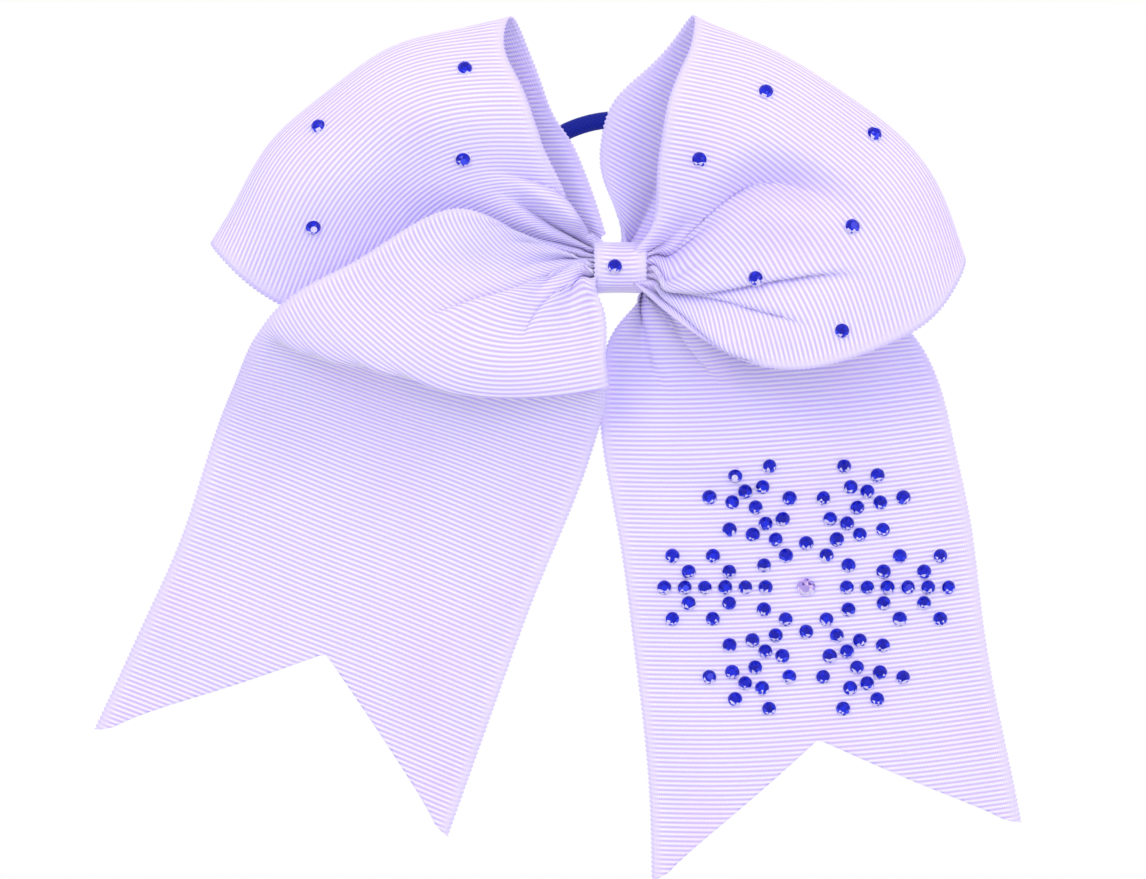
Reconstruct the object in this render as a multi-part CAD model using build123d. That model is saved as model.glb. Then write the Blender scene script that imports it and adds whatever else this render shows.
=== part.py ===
"""Cheer hair bow: two ribbon loops and two swallow-tailed ends, gathered in a knot on a hair elastic.

Frame: the origin is the middle of the elastic strand where it is held at the back of the knot.
+Z is up as the bow is worn, +X is to the right seen from the front, and the front faces -Y.
All sizes are in millimetres.
"""

import os
from math import copysign, cos, pi, sin

from build123d import *

# ribbon: 76.2 wide, a 3 inch grosgrain
CLOTH = 0.9  # thickness of the soft solids that stand for the ribbon

# knot: the ribbon runs pass through it in layers, front to back
KNOT_WIDTH = 11.0  # along X
KNOT_HEIGHT = 9.5  # along Z
KNOT_FRONT = -17.2
KNOT_BACK = 3.4
WRAP = 0.6
WRAP_CORNER = 3.2
LAP_HEIGHT = 6.5
RUN_START = KNOT_WIDTH / 2 + 0.9  # where the ribbon runs begin beside the knot
RIGHT_LOOP_START = RUN_START + 0.5
LOOSE = 0.1  # gap between parts that are stacked inside the knot

CORE_HALF_WIDTH = 5.2
CORE_HALF_HEIGHT = 3.9
CORE_FRONT = KNOT_FRONT + WRAP + LOOSE
CORE_BACK = -3.0
CORE_CORNER = 2.5
THREAD = 0.5
THREAD_TURNS = 5
THREAD_PITCH = 0.7
THREAD_GROOVE = 0.6

# hair elastic: a rubber core in a braided cover, closed by a sleeve inside the knot
STRAND_RADIUS = 1.85
RUBBER_RADIUS = 1.2
SLEEVE_RADIUS = 2.2
SLEEVE_LENGTH = 7.0
RING_RADIUS = 25.3  # centre line of the ring's upper half
RING_RISE = 8.8  # height of that half circle's centre above the strand in the knot
RING_LEAN = 15.0  # degrees that the ring leans back, away from the loops

# stones
STONE_RADIUS = 1.55
STONE_HEIGHT = 1.25
STONE_TAPER = 42.0
STONE_SIDES = 10
CENTRE_STONE_RADIUS = 1.95
GLUE_RADIUS = 1.25
GLUE_HEIGHT = 0.15

# snowflake of stones on the right tail
SNOW_X = 40.2
SNOW_Z = -68.4
SNOW_PITCH = 4.37
SNOW_SQUASH = 0.91  # its height against its width
SNOW_ARMS = 6
ARM_FIRST = 2
ARM_LAST = 7
BRANCH_STARTS = (3, 5)
BRANCH_STONES = 2
BRANCH_ALONG = 0.8
BRANCH_ACROSS = 0.85
RING_STEPS = 2.4

TAIL_BACK = 1.5  # the flat tails hang in this plane


def save(shape, node):
    export_step(shape, f"parts/{node}.step")


def mix(a, b, t):
    return Vector(*a) * (1 - t) + Vector(*b) * t


def ribbon_run(stations):
    """A soft ribbon along stations, each (one selvage, other selvage, bulge at the middle).

    A run that ends on a bulged station, at a loop's fold, ends flat there, so that two runs meet in it.
    """
    middles = [mix(first, second, 0.5) + Vector(*bulge) for first, second, bulge in stations]
    outlines = []
    for k, (first, second, bulge) in enumerate(stations):
        along = middles[min(k + 1, len(middles) - 1)] - middles[max(k - 1, 0)]
        across = Vector(*second) - Vector(*first)
        offset = along.cross(across).normalized() * (CLOTH / 2)
        if k in (0, len(stations) - 1) and Vector(*bulge).length > 0:
            outward = Vector(*bulge).normalized()
            offset = outward * copysign(CLOTH / 2, outward.dot(offset))
        near = [Vector(*first) + offset, middles[k] + offset, Vector(*second) + offset]
        far = [Vector(*second) - offset, middles[k] - offset, Vector(*first) - offset]
        if Vector(*bulge).length > 0:
            sides = [Edge.make_three_point_arc(*near), Edge.make_three_point_arc(*far)]
        else:
            sides = [Edge.make_line(near[0], near[2]), Edge.make_line(far[0], far[2])]
        ends = [Edge.make_line(near[2], far[0]), Edge.make_line(far[2], near[0])]
        outlines.append(Wire([sides[0], ends[0], sides[1], ends[1]]))
    return Solid.make_loft(outlines)


def front_point(ribbon, x, z):
    """The point where a line along +Y first meets the ribbon, and the ribbon's outward normal there."""
    hits = ribbon.find_intersection_points(Axis((x, -100, z), (0, 1, 0)))
    point, normal = min(hits, key=lambda hit: hit[0].Y)
    if normal.Y > 0:
        normal = normal * -1
    return point, normal


def stone(radius=STONE_RADIUS):
    """A flat-backed faceted stone standing on the XY plane."""
    outline = RegularPolygon(radius, STONE_SIDES)
    return extrude(outline, amount=STONE_HEIGHT * radius / STONE_RADIUS, taper=STONE_TAPER)


def set_stones(ribbon, places):
    """Stones and their dots of glue on a curved ribbon."""
    stones = []
    dots = []
    for x, z in places:
        point, normal = front_point(ribbon, x, z)
        seat = Plane(origin=point, z_dir=normal)
        stones.append(seat * Pos(0, 0, GLUE_HEIGHT) * stone())
        dot = seat * Pos(0, 0, -0.3) * Cylinder(
            GLUE_RADIUS, 0.3 + GLUE_HEIGHT, align=(Align.CENTER, Align.CENTER, Align.MIN)
        )
        dots.append((dot - ribbon).solids().sort_by(Axis(point, normal))[-1])
    return Compound(stones), Compound(dots)


def rounded_block(width, height, front, back, corner):
    """A block along X with its long edges rounded: width along X, height along Z, front to back along Y."""
    profile = Plane.YZ * Pos((front + back) / 2, 0) * RectangleRounded(back - front, height, corner)
    return extrude(profile, amount=width / 2, both=True)


os.makedirs("parts", exist_ok=True)

# the knot
outer = rounded_block(KNOT_WIDTH, KNOT_HEIGHT, KNOT_FRONT, KNOT_BACK, WRAP_CORNER)
inner = rounded_block(
    KNOT_WIDTH + 2, KNOT_HEIGHT - 2 * WRAP, KNOT_FRONT + WRAP, KNOT_BACK - WRAP, WRAP_CORNER - WRAP
)
lap = Pos(0, KNOT_BACK + WRAP / 2 - 0.05, 0) * Box(KNOT_WIDTH, WRAP + 0.1, LAP_HEIGHT)
knot_wrap = outer - inner + (lap - inner)
save(knot_wrap, "knot_wrap")

core = rounded_block(2 * CORE_HALF_WIDTH, 2 * CORE_HALF_HEIGHT, CORE_FRONT, CORE_BACK, CORE_CORNER)
groove_width = THREAD_TURNS * THREAD_PITCH + 0.2
core_waist = rounded_block(
    groove_width,
    2 * (CORE_HALF_HEIGHT - THREAD_GROOVE),
    CORE_FRONT + THREAD_GROOVE,
    CORE_BACK - THREAD_GROOVE,
    CORE_CORNER - THREAD_GROOVE,
)
groove = rounded_block(groove_width, 2 * CORE_HALF_HEIGHT + 2, CORE_FRONT - 1, CORE_BACK + 1, CORE_CORNER) - core_waist
save(core - groove, "gather_core")

turns = []
for i in range(THREAD_TURNS):
    x = (i - (THREAD_TURNS - 1) / 2) * THREAD_PITCH
    around = rounded_block(
        THREAD, 2 * (CORE_HALF_HEIGHT - 0.05), CORE_FRONT + 0.05, CORE_BACK - 0.05, CORE_CORNER
    )
    within = rounded_block(
        THREAD + 1,
        2 * (CORE_HALF_HEIGHT - THREAD_GROOVE + 0.03),
        CORE_FRONT + THREAD_GROOVE - 0.03,
        CORE_BACK - THREAD_GROOVE + 0.03,
        CORE_CORNER - THREAD_GROOVE,
    )
    turns.append(Pos(x, 0, 0) * (around - within))
save(Compound(turns), "binding_thread")

saddle_height = 2 * CORE_HALF_HEIGHT - 0.6
saddle_block = Pos(0, (CORE_BACK + 0.03) / 2, 0) * Box(9.0, -(CORE_BACK + 0.03), saddle_height)
saddle = saddle_block - Rot(0, 90, 0) * Cylinder(SLEEVE_RADIUS + 0.06, 20)
save(saddle.solids().sort_by(SortBy.VOLUME)[-1], "glue_pad")

# the hair elastic
left_corner = Vector(-(RING_RADIUS - RING_RISE), 0)
right_corner = Vector(RING_RADIUS - RING_RISE, 0)
quarter = RING_RISE * (1 - cos(pi / 4))
ring_line = Wire(
    [
        Edge.make_line((left_corner.X, 0, 0), (right_corner.X, 0, 0)),
        Edge.make_three_point_arc(
            (right_corner.X, 0, 0),
            (RING_RADIUS - quarter, 0, quarter),
            (RING_RADIUS, 0, RING_RISE),
        ),
        Edge.make_three_point_arc(
            (RING_RADIUS, 0, RING_RISE), (0, 0, RING_RISE + RING_RADIUS), (-RING_RADIUS, 0, RING_RISE)
        ),
        Edge.make_three_point_arc(
            (-RING_RADIUS, 0, RING_RISE),
            (-RING_RADIUS + quarter, 0, quarter),
            (left_corner.X, 0, 0),
        ),
    ]
)


def ring(radius):
    """A round strand that follows the ring's line, closed into one loop."""
    pieces = []
    for edge in ring_line.edges():
        start = Plane(origin=edge @ 0, z_dir=edge % 0)
        pieces.append(sweep(start * Circle(radius), path=edge))
    return Rot(-RING_LEAN, 0, 0) * (pieces[0] + pieces[1] + pieces[2] + pieces[3])


strand = ring(STRAND_RADIUS)
rubber = ring(RUBBER_RADIUS)
save(strand - rubber, "elastic_cover")
save(ring(RUBBER_RADIUS - 0.02), "elastic_core")
sleeve = Cylinder(SLEEVE_RADIUS, SLEEVE_LENGTH) - Cylinder(STRAND_RADIUS + 0.01, SLEEVE_LENGTH + 2)
save(Rot(0, 90, 0) * sleeve, "elastic_sleeve")

# left loop: front layer from the knot to the fold, then back to the knot behind it
left_fold = ((-24, -14, 51.5), (-82.5, -14, 1), (-8, 0, 9.5))
left_loop = ribbon_run(
    [
        ((-RUN_START, -10.5, 3.9), (-RUN_START, -10.5, -3.9), (0, 0, 0)),
        ((-10, -17, 13), (-17, -12.5, 1), (-1, -2, 1)),
        ((-15, -24, 24), (-38, -15, -2), (-4, -4, 4)),
        ((-19, -26, 34), (-56, -16, -7), (-6, -5, 6)),
        ((-23, -23, 44), (-72, -16.5, -6), (-8, -3, 8)),
        left_fold,
    ]
) + ribbon_run(
    [
        left_fold,
        ((-22.5, -8, 51.5), (-78, -6, -1), (-7.5, 1, 8.5)),
        ((-18, -5, 41), (-62, -4.5, -5), (-5, 1, 6)),
        ((-12.5, -4.5, 26), (-40, -4.5, -4), (-3, 0.5, 3)),
        ((-8, -4.7, 13), (-20, -4.7, -3), (-1, 0, 1)),
        ((-RUN_START, -5.5, 3.9), (-RUN_START, -5.5, -3.9), (0, 0, 0)),
    ]
)
save(left_loop, "left_loop")
left_stones, left_dots = set_stones(left_loop, [(-32.6, 40.7), (-63.1, 28.7), (-33.0, 22.0), (-64.4, 7.9)])
save(left_stones, "left_loop_stones")
save(left_dots, "left_loop_glue_dots")

# right loop: front layer from the fold to the knot, then the back layer from the same fold
right_fold = ((16, -15.5, 52.5), (71.5, -15.5, -3.5), (7, 0, 7))
right_loop = ribbon_run(
    [
        right_fold,
        ((14, -22, 47.5), (66, -19, -10), (8, -2, 6)),
        ((11, -26, 38), (53, -22, -19.5), (7, -4, 4)),
        ((8, -25, 26), (33, -22, -21.5), (5, -5, 2)),
        ((6.9, -20, 13), (16, -18.5, -14.5), (3, -3, 0)),
        ((RIGHT_LOOP_START, -14.5, 3.9), (RIGHT_LOOP_START, -14.5, -3.9), (0, 0, 0)),
    ]
) + ribbon_run(
    [
        right_fold,
        ((14, -10.5, 50.5), (66.5, -10.5, -6.5), (6.5, 1, 6)),
        ((7, -8.5, 42), (50, -8.5, -10.5), (4, 1, 3)),
        ((0, -8.2, 31), (34, -8.2, -10), (3, 0.5, 2)),
        ((3.5, -8.5, 18), (19, -8.5, -8), (2, 0, 1)),
        ((RIGHT_LOOP_START, -9.5, 3.9), (RIGHT_LOOP_START, -9.5, -3.9), (0, 0, 0)),
    ]
)
save(right_loop, "right_loop")
right_places = [(30.1, 35.7), (52.9, 27.2), (16.4, 21.6), (48.1, 7.7), (28.2, -2.9), (46.0, -13.9)]
right_stones, right_dots = set_stones(right_loop, right_places)
save(right_stones, "right_loop_stones")
save(right_dots, "right_loop_glue_dots")

# left tail: a fan of pleats from the front of the knot, over the left loop, then the free blade
left_head = ribbon_run(
    [
        ((-RUN_START, -14.5, 3.9), (-RUN_START, -14.5, -3.9), (0, 0, 0)),
        ((-19, -19.5, 6), (-5.3, -16.5, -9.5), (0, -1, 0)),
        ((-34, -23.5, 11), (-4.2, -17, -14), (0, -2, 0)),
        ((-52, -25, 3.5), (-3.8, -17, -18.5), (0, -2, 0)),
        ((-67, -24, -7), (-4.2, -16, -22), (0, -2, 0)),
        ((-76.5, -20, -16), (-4.8, -14, -25.5), (0, 0, 0)),
    ]
)
save(left_head, "left_tail_head")

left_blade = ribbon_run(
    [
        ((-78, -17.5, -18), (-5.2, -12, -28), (0, 0, 0)),
        ((-83, -9.5, -27), (-7, -6, -38), (0, 0, 0)),
        ((-90, -1.5, -42.5), (-14, -0.5, -61), (0, 0, 0)),
        ((-95.5, TAIL_BACK, -57), (-20, TAIL_BACK, -76.5), (0, 0, 0)),
        ((-101, TAIL_BACK, -71), (-25.5, TAIL_BACK, -91.5), (0, 0, 0)),
        ((-113, TAIL_BACK, -98.8), (-37.1, TAIL_BACK, -121.8), (0, 0, 0)),
    ]
)
left_notch = Polyline((-114, -101.8), (-62.8, -82.8), (-36, -125.2), (-80, -140), close=True)
left_tail = left_blade - extrude(Plane.XZ * make_face(left_notch), amount=30, both=True)
save(left_tail, "left_tail")

# right tail: from the back of the knot, behind the right loop
right_head = ribbon_run(
    [
        ((RUN_START, -5.0, 3.9), (RUN_START, -5.0, -3.9), (0, 0, 0)),
        ((25, -4.5, 0.5), (2.5, -4.5, -11), (0, 0, 0)),
        ((44, -3, -5), (-1.4, -3.5, -18.5), (0, 0, 0)),
        ((57, -1.5, -11), (-2.8, -1.5, -26.5), (0, 0, 0)),
        ((65.5, 0, -19.5), (-3.3, 0, -33.5), (0, 0, 0)),
    ]
)
save(right_head, "right_tail_head")

outer_edge = Spline((66.8, -22.5), (73.4, -45.3), (78.8, -75.5), (86.7, -119.0))
inner_edge = Spline((6.6, -131.3), (2.7, -75), (-0.2, -54), (-3.4, -36.0))
right_outline = Wire(
    [
        outer_edge.edge(),
        Edge.make_line((86.7, -119.0), (41.9, -99.8)),
        Edge.make_line((41.9, -99.8), (6.6, -131.3)),
        inner_edge.edge(),
        Edge.make_line((-3.4, -36.0), (66.8, -22.5)),
    ]
)
right_tail = extrude(
    Plane(origin=(0, TAIL_BACK, 0), x_dir=(1, 0, 0), z_dir=(0, -1, 0)) * Face(right_outline),
    amount=CLOTH,
)
save(right_tail, "right_tail")


def snow_place(along, across, turn):
    """A place on the right tail, given along and across one arm of the snowflake, in stone pitches."""
    angle = turn * pi / 180
    x = SNOW_X + SNOW_PITCH * (along * cos(angle) - across * sin(angle))
    z = SNOW_Z + SNOW_SQUASH * SNOW_PITCH * (along * sin(angle) + across * cos(angle))
    return x, z


def snow_seat(x, z):
    """A plane on the front of the right tail with its normal pointing out of the cloth."""
    return Plane(origin=(x, TAIL_BACK - CLOTH, z), x_dir=(1, 0, 0), z_dir=(0, -1, 0))


def arm_places(turn):
    places = [snow_place(k, 0, turn) for k in range(ARM_FIRST, ARM_LAST + 1)]
    for start in BRANCH_STARTS:
        for side in (-1, 1):
            for j in range(1, BRANCH_STONES + 1):
                places.append(snow_place(start + BRANCH_ALONG * j, side * BRANCH_ACROSS * j, turn))
    return places


def flat_stones(places, radius=STONE_RADIUS):
    return Compound([snow_seat(x, z) * Pos(0, 0, GLUE_HEIGHT) * stone(radius) for x, z in places])


all_places = []
for arm in range(SNOW_ARMS):
    places = arm_places(arm * 360 / SNOW_ARMS)
    all_places += places
    save(flat_stones(places), f"snowflake_arm_{arm + 1}")

ring_places = [snow_place(RING_STEPS, 0, 30 + arm * 360 / SNOW_ARMS) for arm in range(SNOW_ARMS)]
all_places += ring_places
save(flat_stones(ring_places), "snowflake_ring_stones")

save(flat_stones([(SNOW_X, SNOW_Z)], CENTRE_STONE_RADIUS), "snowflake_centre_stone")
all_places.append((SNOW_X, SNOW_Z))

dot = Cylinder(GLUE_RADIUS, GLUE_HEIGHT, align=(Align.CENTER, Align.CENTER, Align.MIN))
save(Compound([snow_seat(x, z) * dot for x, z in all_places]), "snowflake_glue_dots")

# the stone on the knot
knot_seat = Plane(origin=(-1.2, KNOT_FRONT, -0.2), x_dir=(1, 0, 0), z_dir=(0, -1, 0))
save(knot_seat * dot, "knot_stone_glue")
save(knot_seat * Pos(0, 0, GLUE_HEIGHT) * stone(), "knot_stone")
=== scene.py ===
"""Cheer hair bow: the looks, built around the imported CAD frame.

Lengths are millimetres until a mesh is made, and metres from there on. The front of the bow faces -Y
and +Z is up. On a run of ribbon, u is the distance across the flat cloth and v the distance along it.
"""

import math
import bpy
import numpy as np
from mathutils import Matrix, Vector


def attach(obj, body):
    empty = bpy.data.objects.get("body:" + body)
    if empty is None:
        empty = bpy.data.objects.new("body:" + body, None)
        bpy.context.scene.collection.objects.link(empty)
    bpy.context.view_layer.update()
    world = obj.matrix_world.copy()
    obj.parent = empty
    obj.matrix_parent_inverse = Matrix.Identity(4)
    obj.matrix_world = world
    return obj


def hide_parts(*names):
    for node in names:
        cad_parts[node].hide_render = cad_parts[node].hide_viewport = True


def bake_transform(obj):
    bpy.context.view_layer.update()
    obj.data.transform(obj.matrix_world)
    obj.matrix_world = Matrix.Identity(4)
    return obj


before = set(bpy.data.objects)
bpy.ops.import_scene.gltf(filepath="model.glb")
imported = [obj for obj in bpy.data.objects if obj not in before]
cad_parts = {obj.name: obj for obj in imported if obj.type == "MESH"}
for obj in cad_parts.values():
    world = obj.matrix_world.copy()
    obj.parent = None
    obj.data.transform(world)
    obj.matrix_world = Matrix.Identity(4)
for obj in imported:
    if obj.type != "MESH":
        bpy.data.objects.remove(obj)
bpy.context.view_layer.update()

MM = 0.001
TAU = 2 * math.pi
rng = np.random.default_rng(7)

# the ribbon, a 3 inch grosgrain
WIDTH = 76.2
RIB = 1.0
RIB_HEIGHT = 0.1
THICKNESS = 0.34
THREAD_PITCH = 0.3  # spacing of the fine warp threads across the ribbon
SCALLOP = 0.16  # how far the selvage's little loops stand out
SELVAGE = 2.2  # width of the woven edge, where the mesh is finer
SELVAGE_COLUMNS = (0.0, 0.35, 0.8, 1.4)

# the ribbon's mesh
COLUMN = 1.3  # spacing across the ribbon
ROWS_PER_RIB = 4
ROW = RIB / ROWS_PER_RIB
SMOOTHING = 40  # passes that even the cloth out between its drawn warp threads
CREASE_FADE = 0.45  # share of a crease's length over which it fades out
CREASE_RISE = 0.12  # share over which it grows, from a small start
LAP_SHARPNESS = 2.5  # how much faster a lapped edge drops than a plain crease
LAP_BULGE = 0.8

# the knot
WRAP_WIDTH = 11.0

# the hair elastic, as in the CAD
RING_RADIUS = 25.3
RING_RISE = 8.8
RING_LEAN = math.radians(15)
STRAND_RADIUS = 1.85
SLEEVE_HALF = 3.8

# its braid
BRAID_THREADS = 12
BRAID_LAY = 2.6  # length of one turn of a thread round the strand
BRAID_HEIGHT = 0.2

# stones, as in the CAD
STONE_RADIUS = 1.55
STONE_HEIGHT = 1.25
CENTRE_STONE_RADIUS = 1.95
GLUE_RISE = 0.12  # height of a stone's flat back above the ribs
STONE_LEAN = 0.085  # how far a hand-set stone tips, in radians
STONE_UNEVEN = 0.03

# places of the single stones seen from the front, x and z, as in the CAD
KNOT_STONE = (-1.2, -0.2)
LEFT_LOOP_STONES = [(-32.6, 40.7), (-63.1, 28.7), (-33.0, 22.0), (-64.4, 7.9)]
RIGHT_LOOP_STONES = [(30.1, 35.7), (52.9, 27.2), (16.4, 21.6), (48.1, 7.7), (28.2, -2.9), (46.0, -13.9)]

# the snowflake of stones, as in the CAD
SNOW_X = 40.2
SNOW_Z = -68.4
SNOW_PITCH = 4.37
SNOW_SQUASH = 0.91  # its height against its width
SNOW_ARMS = 6
ARM_TURN = 360 / SNOW_ARMS
ARM_FIRST = 2
ARM_LAST = 7
BRANCH_STARTS = (3, 5)
BRANCH_STONES = 2
BRANCH_ALONG = 0.8
BRANCH_ACROSS = 0.85
RING_STEPS = 2.4


# ---------------------------------------------------------------- curves


def unit(vectors):
    size = np.linalg.norm(vectors, axis=-1, keepdims=True)
    return vectors / np.maximum(size, 1e-9)


def smoothstep(x):
    x = np.clip(x, 0, 1)
    return x * x * (3 - 2 * x)


def spline_matrix(knots, at):
    """The natural cubic spline through values at knots, as a matrix that gives its values elsewhere."""
    knots = np.asarray(knots, float)
    at = np.clip(np.asarray(at, float), knots[0], knots[-1])
    n = len(knots)
    h = np.diff(knots)
    left = np.eye(n)
    right = np.zeros((n, n))
    for i in range(1, n - 1):
        left[i, i - 1 : i + 2] = h[i - 1], 2 * (h[i - 1] + h[i]), h[i]
        right[i, i - 1 : i + 2] = 6 / h[i - 1], -6 / h[i - 1] - 6 / h[i], 6 / h[i]
    curvature = np.linalg.solve(left, right)
    value = np.eye(n)
    k = np.clip(np.searchsorted(knots, at, side="right") - 1, 0, n - 2)
    a = ((knots[k + 1] - at) / h[k])[:, None]
    b = 1 - a
    size = (h[k] ** 2 / 6)[:, None]
    straight = a * value[k] + b * value[k + 1]
    return straight + size * ((a**3 - a) * curvature[k] + (b**3 - b) * curvature[k + 1])


def smooth_path(points, count=700):
    """Many places on a smooth curve through a few, the length up to each, and the length up to each point."""
    points = np.asarray(points, float)
    chords = np.linalg.norm(np.diff(points, axis=0), axis=1)
    knots = np.concatenate([[0], np.cumsum(chords)])
    at = np.linspace(0, knots[-1], count)
    path = spline_matrix(knots, at) @ points
    lengths = np.concatenate([[0], np.cumsum(np.linalg.norm(np.diff(path, axis=0), axis=1))])
    return path, lengths, np.interp(knots, at, lengths)


def along(path, lengths, at):
    """Places at given lengths along a path, which goes on straight past its ends."""
    inside = np.stack([np.interp(at, lengths, path[:, k]) for k in range(3)], axis=-1)
    before = np.minimum(at, 0)[:, None] * unit(path[1] - path[0])
    after = np.maximum(at - lengths[-1], 0)[:, None] * unit(path[-1] - path[-2])
    return inside + before + after


# ---------------------------------------------------------------- meshes


def mesh_piece(name, points, polys, attributes=(), smooth=True):
    """An object from points in millimetres and arrays of faces. attributes: (name, kind, domain, values)."""
    mesh = bpy.data.meshes.new(name)
    corners = np.concatenate([p.ravel() for p in polys])
    sizes = np.concatenate([np.full(len(p), p.shape[1]) for p in polys])
    used = np.zeros(len(points), bool)
    used[corners] = True
    corners = (np.cumsum(used) - 1)[corners]
    points = np.asarray(points, float)[used] * MM
    mesh.vertices.add(len(points))
    mesh.vertices.foreach_set("co", points.ravel())
    mesh.loops.add(len(corners))
    mesh.loops.foreach_set("vertex_index", corners)
    mesh.polygons.add(len(sizes))
    mesh.polygons.foreach_set("loop_start", np.concatenate([[0], np.cumsum(sizes)[:-1]]))
    mesh.polygons.foreach_set("loop_total", sizes)
    mesh.polygons.foreach_set("use_smooth", np.full(len(sizes), smooth))
    for label, kind, domain, values in attributes:
        layer = mesh.attributes.new(label, kind, domain)
        values = np.asarray(values, float)
        values = values[used] if domain == "POINT" else values
        layer.data.foreach_set("vector" if kind == "FLOAT_VECTOR" else "value", values.ravel())
    mesh.update(calc_edges=True)
    piece = bpy.data.objects.new(name, mesh)
    bpy.context.scene.collection.objects.link(piece)
    return piece


def rim_of(polys, count):
    """The directed edges that belong to one face only."""
    starts = np.concatenate([p.ravel() for p in polys])
    ends = np.concatenate([np.roll(p, -1, axis=1).ravel() for p in polys])
    alone = ~np.isin(starts * count + ends, ends * count + starts)
    return starts[alone], ends[alone]


# ---------------------------------------------------------------- ribbon


def ribbon_columns(width):
    """Places across a ribbon: close together at the woven selvages, even between."""
    near = np.array(SELVAGE_COLUMNS)
    count = round((width - 2 * SELVAGE) / COLUMN)
    return np.concatenate([near, np.linspace(SELVAGE, width - SELVAGE, count), width - near[::-1]])


def nearest_on(line, flat):
    """For each (x, z) place: the gap to a line, the share of the line passed there, and the way off it."""
    total = np.linalg.norm(np.diff(line, axis=0), axis=1).sum()
    best = np.full(flat.shape[:2], 1e9)
    where = np.zeros(flat.shape[:2])
    aside = np.zeros(flat.shape)
    done = 0.0
    for start, end in zip(line[:-1], line[1:]):
        run = np.linalg.norm(end - start)
        ahead = (end - start) / run
        t = np.clip((flat - start) @ ahead, 0, run)
        gap = np.linalg.norm(flat - start - t[:, :, None] * ahead, axis=2)
        left = np.array([-ahead[1], ahead[0]])
        side = np.sign((flat - start) @ left)
        nearer = gap < best
        where = np.where(nearer, (done + t) / total, where)
        aside = np.where(nearer[:, :, None], side[:, :, None] * left, aside)
        best = np.minimum(gap, best)
        done += run
    return best, where, aside


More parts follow.
